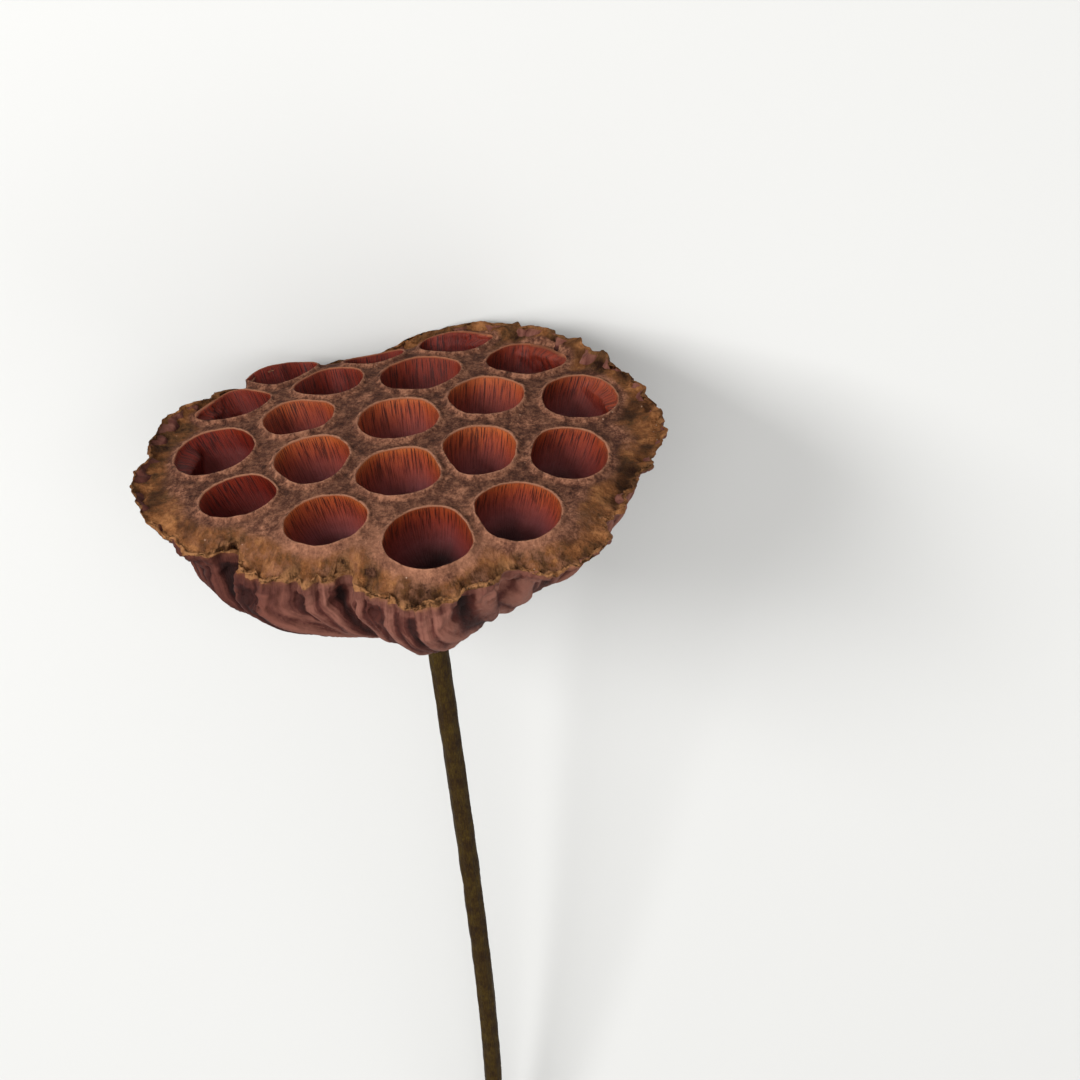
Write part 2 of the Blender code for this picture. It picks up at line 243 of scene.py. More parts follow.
@dataclass(frozen=True)
class FaceSkin:
    """The felt-like skin of the face, the pale lips and the crusty rim, with painted light on the front and
    on the rim's edge and painted shade round the cells.
    """

    valley: Colour = (0.022, 0.0075, 0.0045, 1)
    skin: Colour = (0.095, 0.036, 0.021, 1)
    worn: Colour = (0.30, 0.132, 0.075, 1)
    lip: Colour = (0.30, 0.135, 0.08, 1)
    dust: Colour = (0.46, 0.30, 0.21, 1)
    crust: Colour = (0.16, 0.058, 0.019, 1)
    crust_dark: Colour = (0.018, 0.0055, 0.002, 1)
    crust_olive: Colour = (0.082, 0.035, 0.012, 1)
    crust_gold: Colour = (0.33, 0.14, 0.05, 1)
    edge: Colour = (0.33, 0.15, 0.06, 1)
    speck_spacing: float = 2.6

    def material(self) -> bpy.types.Material:
        """Builds the finish."""
        sheet = NodeSheet("face_skin")
        broad = sheet.grain(9.0, 3.0, 0.55)
        felt = sheet.grain(2.2, 6.0, 0.7)
        fine = sheet.grain(0.6, 5.0, 0.75)
        mixed = sheet.plus(sheet.times(felt, 0.6), sheet.times(fine, 0.4))
        face = sheet.ramp(mixed, (0.37, self.valley), (0.48, self.skin), (0.61, self.worn))
        # Painted light: the front of the face turns to a lighter felt.
        lit_front = sheet.times(sheet.mark("lit_front"), sheet.steps(broad, 0.25, 0.6))
        face = sheet.blend(lit_front, face, sheet.ramp(mixed, (0.36, self.skin), (0.63, self.worn)))
        # Painted shade: the face darkens in the band round each cell's raised collar, less at the front.
        valley = sheet.times(sheet.mark("valley"), 0.6)
        face = sheet.blend(valley, face, sheet.ramp(mixed, (0.4, self.valley), (0.75, self.skin)))
        rays = sheet.rays(8.5, 0.07)
        knobbly = sheet.grain(3.2, 8.0, 0.7)
        uneven = sheet.plus(sheet.times(knobbly, 0.5), sheet.times(rays, 0.5))
        dull_stops = (0.38, self.crust_dark), (0.45, self.crust_olive)
        crust = sheet.ramp(uneven, *dull_stops, (0.52, self.crust), (0.62, self.crust_gold))
        patches = sheet.steps(sheet.grain(11.0, 3.0, 0.6), 0.52, 0.62)
        crust = sheet.blend(sheet.times(patches, 0.7), crust, self.crust_dark)
        rim = sheet.steps(sheet.plus(sheet.mark("band"), sheet.centred(broad)), 0.2, 0.7)
        # Painted light: at the front the dark crust gives way to the lighter face.
        bare = sheet.times(lit_front, sheet.steps(felt, 0.4, 0.6))
        crusted = sheet.times(rim, sheet.maths("SUBTRACT", 1.0, sheet.times(bare, 0.55)))
        colour = sheet.blend(crusted, face, crust)
        # The rim's pale edge, its own colour, with painted light that makes it brightest at the front.
        edge = sheet.times(sheet.mark("edge"), sheet.steps(felt, 0.36, 0.56))
        colour = sheet.blend(edge, colour, self.edge)
        worn_lip = sheet.times(sheet.steps(fine, 0.3, 0.58), sheet.steps(felt, 0.3, 0.56))
        lip = sheet.times(sheet.mark("lip"), worn_lip)
        colour = sheet.blend(lip, colour, self.lip)
        spots = sheet.add("ShaderNodeTexVoronoi")
        sheet.feed(spots, Vector=sheet.place, Scale=1 / (self.speck_spacing * MM))
        speck = sheet.steps(spots.outputs["Distance"], 0.085, 0.05)
        speck = sheet.times(speck, sheet.steps(broad, 0.48, 0.6))
        colour = sheet.blend(sheet.times(speck, 0.6), colour, self.dust)
        sheet.coat(colour, roughness=0.9, specular=0.1)
        creases = sheet.times(sheet.centred(rays), rim)
        knobs = sheet.times(sheet.centred(knobbly), rim)
        sheet.bump((creases, 3.4), (knobs, 1.3), (felt, 0.45), (fine, 0.3))
        return sheet.material


@dataclass(frozen=True)
class CellWall:
    """The smooth red-brown wall of a seed cell, with dark fibres that run down from its lip, and painted
    light and shade down its depth.
    """

    # Down the wall: a lit orange top (painted light), red-brown in the middle, a mauve painted sheen lower
    # down and a dark floor (painted shade).
    top: Colour = (0.36, 0.085, 0.018, 1)
    upper: Colour = (0.26, 0.042, 0.012, 1)
    middle: Colour = (0.21, 0.034, 0.021, 1)
    lower: Colour = (0.18, 0.044, 0.044, 1)
    floor: Colour = (0.022, 0.003, 0.004, 1)
    fibre: Colour = (0.028, 0.004, 0.002, 1)
    lip: Colour = (0.29, 0.135, 0.075, 1)
    shade: Colour = (0.43, 0.16, 0.13, 1)

    def material(self) -> bpy.types.Material:
        """Builds the finish."""
        sheet = NodeSheet("cell_wall")
        depth = sheet.mark("depth")
        around = sheet.mark("around")
        broad = sheet.grain(7.0, 3.0, 0.5)
        shifted = sheet.plus(depth, sheet.times(sheet.centred(broad), 0.3))
        # The wall's red-brown, with painted light at the top, a painted sheen lower down and painted shade at
        # the floor.
        upper_stops = (0.0, self.top), (0.16, self.upper), (0.38, self.middle)
        colour = sheet.ramp(shifted, *upper_stops, (0.7, self.lower), (0.97, self.floor))
        threads = sheet.noise(sheet.vector(around, sheet.times(depth, 0.6), 0.0), 3.2, 5.0, 0.7)
        reach = sheet.steps(depth, 0.9, 0.1)
        fibres = sheet.times(sheet.steps(threads, 0.49, 0.58), sheet.times(reach, 0.95))
        colour = sheet.blend(fibres, colour, self.fibre)
        pale = sheet.times(sheet.steps(threads, 0.46, 0.36), sheet.times(reach, 0.35))
        colour = sheet.blend(pale, colour, self.top)
        # Painted shade: the walls of cells at the back and the sides are multiplied darker by the shade
        # colour.
        shaded = sheet.blend(1.0, colour, self.shade, "MULTIPLY")
        colour = sheet.blend(sheet.mark("painted_shade"), colour, shaded)
        colour = sheet.blend(sheet.mark("lip"), colour, self.lip)
        sheet.coat(colour, roughness=0.52, specular=0.24)
        sheet.bump((threads, 0.25), (sheet.grain(0.5, 4.0, 0.7), 0.08))
        return sheet.material


@dataclass(frozen=True)
class PleatedSkin:
    """The dry maroon-brown skin of the underside, dusty on its ridges and darkened with painted shade in its
    creases.
    """

    crease: Colour = (0.008, 0.0015, 0.001, 1)
    deep: Colour = (0.021, 0.0038, 0.0024, 1)
    skin: Colour = (0.053, 0.0115, 0.0075, 1)
    dusty: Colour = (0.185, 0.072, 0.05, 1)
    edge: Colour = (0.24, 0.10, 0.04, 1)
    neck: Colour = (0.045, 0.022, 0.009, 1)
    shade: Colour = (0.5, 0.36, 0.34, 1)

    def material(self) -> bpy.types.Material:
        """Builds the finish."""
        sheet = NodeSheet("pleated_skin")
        ridge = sheet.mark("ridge")
        felt = sheet.grain(2.4, 6.0, 0.68)
        fine = sheet.grain(0.5, 4.0, 0.7)
        along = sheet.vector(sheet.mark("around"), sheet.times(sheet.mark("down"), 4.0), 0.0)
        threads = sheet.noise(along, 0.9, 6.0, 0.68)
        height = sheet.plus(ridge, sheet.times(sheet.centred(threads), 1.1))
        # Painted shade: the skin darkens towards the bottom of each crease.
        dark_stops = (0.08, self.crease), (0.3, self.deep)
        colour = sheet.ramp(height, *dark_stops, (0.62, self.skin), (1.0, self.dusty))
        dust = sheet.times(sheet.steps(felt, 0.5, 0.68), sheet.steps(height, 0.35, 0.95))
        colour = sheet.blend(sheet.times(dust, 0.55), colour, self.dusty)
        # The rim's pale edge, its own colour, with painted light that makes it brightest at the front.
        edge = sheet.times(sheet.mark("edge"), sheet.steps(felt, 0.36, 0.56))
        colour = sheet.blend(edge, colour, self.edge)
        colour = sheet.blend(sheet.steps(sheet.mark("down"), 0.82, 1.0), colour, self.neck)
        # Painted shade: the underside's left side is multiplied darker by the shade colour.
        colour = sheet.blend(sheet.mark("painted_shade"), colour, sheet.blend(1.0, colour, self.shade, "MULTIPLY"))
        sheet.coat(colour, roughness=0.8, specular=0.18)
        sheet.bump((threads, 0.5), (felt, 0.3), (fine, 0.12))
        return sheet.material


@dataclass(frozen=True)
class StemBark:
    """The dry olive-brown skin of the stem, mottled and finely ribbed."""

    dark: Colour = (0.008, 0.003, 0.0004, 1)
    brown: Colour = (0.018, 0.0075, 0.0006, 1)
    olive: Colour = (0.034, 0.019, 0.0014, 1)
    light: Colour = (0.066, 0.04, 0.005, 1)
    pith: Colour = (0.16, 0.10, 0.045, 1)

    def material(self) -> bpy.types.Material:
        """Builds the finish."""
        sheet = NodeSheet("stem_bark")
        along = sheet.vector(sheet.mark("around"), sheet.times(sheet.mark("down"), 9.0), 0.0)
        threads = sheet.noise(along, 1.6, 6.0, 0.7)
        mottle = sheet.grain(3.5, 6.0, 0.7)
        mixed = sheet.plus(sheet.times(threads, 0.55), sheet.times(mottle, 0.45))
        dark_stops = (0.36, self.dark), (0.46, self.brown)
        colour = sheet.ramp(mixed, *dark_stops, (0.56, self.olive), (0.7, self.light))
        colour = sheet.blend(sheet.mark("pith"), colour, self.pith)
        sheet.coat(colour, roughness=0.65, specular=0.1)
        sheet.bump((threads, 0.2), (sheet.grain(0.6, 4.0, 0.7), 0.1))
        return sheet.material


@dataclass(frozen=True)
class PaleSurface:
    """The plain pale surface under the pod."""

    colour: Colour = (0.49, 0.49, 0.48, 1)

    def material(self) -> bpy.types.Material:
        """Builds the finish."""
        sheet = NodeSheet("pale_surface")
        sheet.coat(self.colour, roughness=0.9, specular=0.1)
        return sheet.material


@dataclass(frozen=True)
class Station:
    """The rim and the wall under it at one angle: the rim's radius and height, and the wall's radius."""

    rim: float
    height: float
    wall: float


@dataclass(frozen=True)
class SeedCell:
    """One seed cell: its middle on the face, and its half width and half depth."""

    x: float
    y: float
    half_width: float
    half_depth: float

    def middle(self) -> Vector:
        """The middle, across the face."""
        return Vector((self.x, self.y))

    def oval_radius(self, heading: Vector) -> float:
        """Radius of the oval that the cell would fill if nothing stood in its way."""
        return 1 / math.hypot(heading.x / self.half_width, heading.y / self.half_depth)


# The rim round the pod, from +X on: its radius and height, and the radius of the wall under it.
RIM_TABLE = (
    (58.0, -3.0, 49.0), (58.0, -2.5, 50.5), (58.5, -2.0, 52.5), (58.5, -1.5, 54.0),
    (59.5, -2.5, 54.5), (59.5, -4.5, 55.0), (60.0, -9.0, 55.5), (60.5, -11.0, 55.5),
    (60.5, -9.0, 55.0), (59.0, -4.5, 54.0), (60.0, -2.5, 52.0), (59.0, -3.0, 49.5),
    (56.5, -4.5, 47.5), (50.5, -7.0, 46.0), (44.5, -7.5, 44.5), (42.5, -7.5, 42.5),
    (39.5, -6.5, 38.5), (40.5, -7.5, 39.5), (46.5, -7.8, 46.0), (45.5, -6.8, 42.0),
    (48.5, -7.5, 39.0), (54.0, -6.5, 39.5), (51.5, -5.0, 42.5), (53.0, -4.5, 45.5),
)
# The seed cells, from the back to the front: each one's middle, half width and half depth.
CELL_TABLE = (
    (16.8, 49.0, 8.9, 6.0), (31.4, 35.8, 9.1, 8.0), (-23.0, 48.2, 9.0, 7.4), (-12.5, 37.8, 8.4, 8.0),
    (-1.8, 48.5, 7.5, 5.5), (7.8, 34.6, 9.5, 8.6), (21.1, 20.6, 8.9, 8.9), (41.0, 16.7, 8.5, 9.8),
    (-34.0, 35.6, 9.2, 6.8), (-20.1, 23.4, 8.2, 8.2), (1.6, 15.2, 9.2, 9.1), (17.4, -1.8, 8.6, 9.9),
    (35.9, -6.0, 8.5, 10.2), (-38.8, 16.3, 9.2, 9.4), (-18.2, 4.6, 8.6, 10.0), (0.0, -5.8, 9.9, 9.3),
    (-34.4, -3.6, 8.7, 7.6), (-16.7, -18.6, 9.1, 8.7), (4.0, -30.2, 9.8, 10.4), (22.8, -25.0, 9.4, 10.3),
)


@dataclass
class PodForm:
    """The main forms of the pod head, the same as those of its solid."""

    stations: tuple[Station, ...] = tuple(Station(*row) for row in RIM_TABLE)
    cells: tuple[SeedCell, ...] = tuple(SeedCell(*row) for row in CELL_TABLE)
    dome: float = 0.0027
    droop_angle: float = math.radians(95)
    droop_start: float = 38.0
    droop: float = 0.0134
    droop_narrowness: int = 12
    crests: tuple[tuple[float, float, float], ...] = ((73.0, 1.8, 10.0), (115.0, 2.2, 10.0))
    crest_start: float = 47.0
    crest_run: float = 8.0
    flange_blend: float = 8.0
    top_edge_inset: float = 2.0
    web: float = 2.1
    lip_to_top_edge: float = 1.8
    corner_sharpness: int = 8
    collar_fall: float = 0.7
    underside: tuple[tuple[float, float], ...] = (
        (0.0, 1.01), (0.11, 0.995), (0.21, 0.965), (0.31, 0.915), (0.42, 0.84),
        (0.52, 0.755), (0.63, 0.64), (0.73, 0.525), (0.82, 0.41), (0.92, 0.28),
    )
    underside_top: float = -13.0
    rim_thickness: float = 1.3
    rim_lower_inset: float = 0.5
    undercut_drop: float = 3.2
    undercut: float = 0.5
    wall_top_below_rim: float = 5.1
    neck_at: tuple[float, float] = (2.5, 0.0)
    neck_top: float = -39.5
    pleats: int = 25
    pleat_depth: float = 2.6
    pleat_fade: float = 0.6
    pleat_at_rim: float = 0.9
    pleat_lifts_rim: float = 0.7
    pleat_mean: float = 0.6
    pleat_sharpness: float = 0.75
    pleat_wander: tuple[tuple[int, float, float], ...] = ((3, 0.5, 0.7), (5, 0.3, 2.1))
    pleat_lean: float = 1.1
    pleat_leans_more: float = 1.4
    pleat_leans_at: float = math.radians(185)
    pinches: tuple[tuple[float, float, float], ...] = (
        (205.0, 5.0, 4.0), (228.0, 2.5, 3.0), (246.0, 5.0, 4.0), (296.0, 4.5, 3.5),
        (325.0, 2.0, 3.0), (35.0, 1.8, 4.0), (91.0, 2.8, 7.0), (160.0, 2.2, 3.5),
    )
    pinch_below_rim: float = 0.85
    least_pleat: float = 0.55
    most_pleat: float = 1.15
    least_reach: float = 1.0
    most_reach: float = 20.0
    reach_steps: int = 12
    pleat_sizes: list[float] = field(init=False)

    def __post_init__(self) -> None:
        """Draws each pleat's size."""
        sizes = self.least_pleat, self.most_pleat
        self.pleat_sizes = [random.Random(k).uniform(*sizes) for k in range(self.pleats)]

    def station(self, angle: float) -> Station:
        """The station at any angle, on smooth closed curves through the given ones."""
        count = len(self.stations)
        place = angle / math.tau * count
        first = math.floor(place)
        near = [self.stations[(first + k) % count] for k in (-1, 0, 1, 2)]
        measures = zip(*((station.rim, station.height, station.wall) for station in near))
        return Station(*(curve_through(values, 1 + place - first) for values in measures))

    def swell(self, angle: float, places: tuple[tuple[float, float, float], ...]) -> float:
        """The sum at an angle of smooth bumps, each with its angle and width in degrees and its size."""
        total = 0.0
        for degrees, size, width in places:
            away = math.degrees(math.remainder(angle - math.radians(degrees), math.tau))
            total += size * math.exp(-((away / width) ** 2))
        return total

    def lean(self, angle: float, down: float) -> float:
        """How far the pleats have leaned over, in pleats, at a share of the way down to the neck."""
        return down * (self.pleat_lean + self.pleat_leans_more * math.cos(angle - self.pleat_leans_at))

    def pleat_place(self, angle: float, down: float) -> float:
        """Where a point lies among the pleats: whole numbers are creases."""
        wander = sum(size * math.sin(times * angle + start) for times, size, start in self.pleat_wander)
        return self.pleats * angle / math.tau - self.lean(angle, down) + wander

    def pleat(self, angle: float, down: float) -> float:
        """How far a pleat stands out, from 0 in a crease to about 1 on a ridge."""
        place = self.pleat_place(angle, down)
        size = self.pleat_sizes[math.floor(place) % self.pleats]
        return size * abs(math.sin(math.pi * place)) ** self.pleat_sharpness

    def dome_height(self, x: float, y: float) -> float:
        """Height of the domed face that the cells' lips lie on."""
        radius = math.hypot(x, y)
        angle = math.atan2(y, x)
        droop = self.droop * max(0.0, math.cos(angle - self.droop_angle)) ** self.droop_narrowness
        crest = self.swell(angle, self.crests) * smooth_step((radius - self.crest_start) / self.crest_run)
        return -0.5 * self.dome * radius**2 - droop * max(0.0, radius - self.droop_start) ** 2 + crest

    def flange_share(self, x: float, y: float) -> float:
        """0 on the face and 1 at the rim."""
        station = self.station(math.atan2(y, x))
        return smooth_step((math.hypot(x, y) - station.rim) / self.flange_blend + 1)

    def face_height(self, x: float, y: float) -> float:
        """Height of the skin between the cells, and of the flange that joins the rim."""
        skin = self.dome_height(x, y) - self.collar_fall
        return skin + (self.station(math.atan2(y, x)).height - skin) * self.flange_share(x, y)

    def rim_point(self, angle: float, inset: float, drop: float) -> Vector:
        """A point of the rim's edge, inset from the outline and dropped below it."""
        station = self.station(angle)
        wave = self.pleat_at_rim * (self.pleat(angle, 0.0) - self.pleat_mean)
        radius = station.rim + wave - self.swell(angle, self.pinches) - inset
        height = station.height - drop + self.pleat_lifts_rim * wave
        return Vector((radius * math.cos(angle), radius * math.sin(angle), height))

    def underside_point(self, angle: float, down: float, share: float) -> Vector:
        """A point of the pleated underside."""
        station = self.station(angle)
        depth = self.pleat_depth * (1 - down) ** self.pleat_fade
        radius = station.wall * share + depth * (self.pleat(angle, down) - self.pleat_mean)
        leaned = angle - self.lean(angle, down) * math.tau / self.pleats
        radius -= self.swell(leaned, self.pinches) * self.pinch_below_rim * (1 - down)
        middle = Vector(self.neck_at) * smooth_step(down)
        top = min(self.underside_top, station.height - self.rim_thickness - self.wall_top_below_rim)
        height = top + (self.neck_top - top) * down
        return Vector((middle.x + radius * math.cos(angle), middle.y + radius * math.sin(angle), height))

    def outside(self, angle: float) -> list[Vector]:
        """The outer skin down one angle: the rim's edge, the hollow under it, and the underside."""
        edge = self.rim_point(angle, self.rim_lower_inset, self.rim_thickness)
        wall = [self.underside_point(angle, down, share) for down, share in self.underside]
        under_edge = edge.lerp(wall[0], self.undercut)
        under_edge.z = edge.z - self.undercut_drop
        return [self.rim_point(angle, 0.0, 0.0), edge, under_edge, *wall]

    def room_to_rim(self, middle: Vector, heading: Vector) -> float:
        """How far a cell's opening may reach from its middle before it comes too near the rim."""
        inset = self.top_edge_inset + self.lip_to_top_edge
        near, far = self.least_reach, self.most_reach
        for _ in range(self.reach_steps):
            reach = (near + far) / 2
            point = middle + heading * reach
            rim = self.rim_point(math.atan2(point.y, point.x), inset, 0.0)
            if point.length < rim.to_2d().length:
                near = reach
            else:
                far = reach
        return near

    def opening_radius(self, cell: SeedCell, heading: Vector) -> float:
        """Radius of a cell's opening: an oval that keeps its distance to its neighbours and to the rim."""
        middle = cell.middle()
        limits = [1 / cell.oval_radius(heading), 1 / self.room_to_rim(middle, heading)]
        for other in self.cells:
            if other is not cell:
                away = other.middle() - middle
                towards = away.normalized()
                own = cell.oval_radius(towards)
                distance = away.length * own / (own + other.oval_radius(towards)) - self.web / 2
                limits.append(max(0.0, heading.dot(towards)) / distance)
        return sum(limit**self.corner_sharpness for limit in limits) ** (-1 / self.corner_sharpness)


class MeshWork:
    """A mesh that grows ring by ring, and the numbers that its points carry for the finishes."""

    everywhere = ("around", "down", "painted_shade", "x", "y")
    on_face = ("depth", "lip", "rim", "band", "edge", "valley", "lit_front")
    on_underside = ("ridge", "second")
    on_stem = ("pith",)
    marks = everywhere + on_face + on_underside + on_stem

    def __init__(self) -> None:
        """Starts an empty mesh."""
        self.bm = bmesh.new()
        self.layers = {name: self.bm.verts.layers.float.new(name) for name in self.marks}

    def mark(self, vert: Vert, **numbers: float) -> None:
        """Sets numbers that a point carries."""
        for name, number in numbers.items():
            vert[self.layers[name]] = number

    def circle(self, columns: int) -> Ring:
        """A new ring of points, to be put in place."""
        return bmesh.ops.create_circle(self.bm, cap_ends=False, segments=columns, radius=1.0)["verts"]

    def edges(self, ring: Ring) -> list[bmesh.types.BMEdge]:
        """The edges round a ring."""
        return [self.bm.edges.get((a, b)) for a, b in zip(ring, ring[1:] + ring[:1])]

    def extrude(self, ring: Ring, zone: Zone) -> Ring:
        """Extrudes a ring.

        Args:
            ring: The ring to extrude.
            zone: The kind of surface of the new faces.

        Returns:
            The new ring, in the same order and place.
        """
        made = bmesh.ops.extrude_edge_only(self.bm, edges=self.edges(ring))["geom"]
        new = set()
        for item in made:
            if isinstance(item, Vert):
                new.add(item)
            elif isinstance(item, bmesh.types.BMFace):
                item.material_index = zone.value
        return [next(e.other_vert(v) for e in v.link_edges if e.other_vert(v) in new) for v in ring]

    def close(self, ring: Ring, point: Vector, zone: Zone) -> Vert:
        """Closes a ring with a fan of faces to one point, and returns that point."""
        tip = self.extrude(ring, zone)
        bmesh.ops.pointmerge(self.bm, verts=tip, merge_co=point)
        return tip[0] if tip[0].is_valid else next(v for v in tip if v.is_valid)

    def finish(self, name: str, place: Matrix, finishes: Iterable[bpy.types.Material]) -> bpy.types.Object:
        """Turns the work into a piece.

        Args:
            name: The piece's name.
            place: The matrix from the pod's frame to the surface that it lies on.
            finishes: The materials, in the order of Zone.

        Returns:
            The piece, at the origin, with its place in its mesh.
        """
        bmesh.ops.recalc_face_normals(self.bm, faces=self.bm.faces)
        self.bm.transform(place)
        low, high = (Vector(corner) for corner in solid_box)
        for vert in self.bm.verts:
            vert.co = [min(h, max(l, c)) for l, c, h in zip(low, vert.co, high)]
        bmesh.ops.triangulate(self.bm, faces=self.bm.faces)
        mesh = bpy.data.meshes.new(name)
        self.bm.to_mesh(mesh)
        self.bm.free()
        for finish in finishes:
            mesh.materials.append(finish)
        mesh.shade_smooth()
        piece = bpy.data.objects.new(name, mesh)
        bpy.context.scene.collection.objects.link(piece)
        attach(piece, BODY)
        log.info("%s: %d faces", name, len(mesh.polygons))
        return piece


@dataclass(frozen=True)
class Relief:
    """The small relief of the seed head's skin: how high each kind stands, in millimetres."""

    wall: float = 0.05
    felt: float = 0.13
    fine_felt: float = 0.09
    knobs: float = 1.5
    ripples: float = 0.95
    more_ripples: float = 0.7
    fine_ripples: float = 0.55
    crust_sinks: float = 0.25
    second_folds: float = 0.85
    wrinkles: float = 0.45
    threads: float = 0.22
    lumps: float = 0.5
    skin: float = 0.12
    crust_share_below: float = 0.8

    def crust(self, place: Vector) -> float:
        """The knobbly relief of the rim, with ripples that run outwards, deeper on the right."""
        angle = math.atan2(place.y, place.x)
        radius = place.to_2d().length
        knobs = noise.turbulence(place * 0.33, 4, False, noise_basis="PERLIN_ORIGINAL") - 0.55
        ripple = noise.noise(Vector((angle * 13.0, radius * 0.05, 3.0)))
        fine = noise.noise(Vector((angle * 34.0, radius * 0.12, 8.0)))
        ripples = self.ripples + self.more_ripples * smooth_step((place.x - 20.0) / 25.0)
        return self.knobs * knobs + ripples * ripple + self.fine_ripples * fine - self.crust_sinks

    def on_face(self, place: Vector, marks: dict[str, float]) -> float:
        """The felt-like relief of the face, which fades on the lips and turns to crust at the rim."""
        felt = noise.noise(place * 0.9) * self.felt + noise.noise(place * 2.3) * self.fine_felt
        return felt * (1 - marks["lip"] * 0.8) + marks["rim"] * self.crust(place)

    def on_underside(self, place: Vector, marks: dict[str, float]) -> float:
        """The narrower folds, wrinkles and threads between the pleats, which fade at the neck."""
        spot, down = marks["around"], marks["down"]
        size = 0.9 + 0.7 * noise.noise(Vector((spot * 0.2, down * 3, 4.0)))
        folds = self.second_folds * (marks["second"] - 0.6) * size
        folds += self.wrinkles * noise.noise(Vector((spot * 0.55, down * 5.0, 1.0)))
        folds += self.threads * noise.noise(Vector((spot * 1.7, down * 9.0, 5.0)))
        folds += self.lumps * noise.noise(place * 0.11)
        rise = folds * (1 - smooth_step((down - 0.8) / 0.2)) + self.skin * noise.noise(place * 1.1)
        rim = self.crust_share_below * (1 - smooth_step(down / 0.02)) * marks["rim"]
        return rise + self.crust(place) * rim


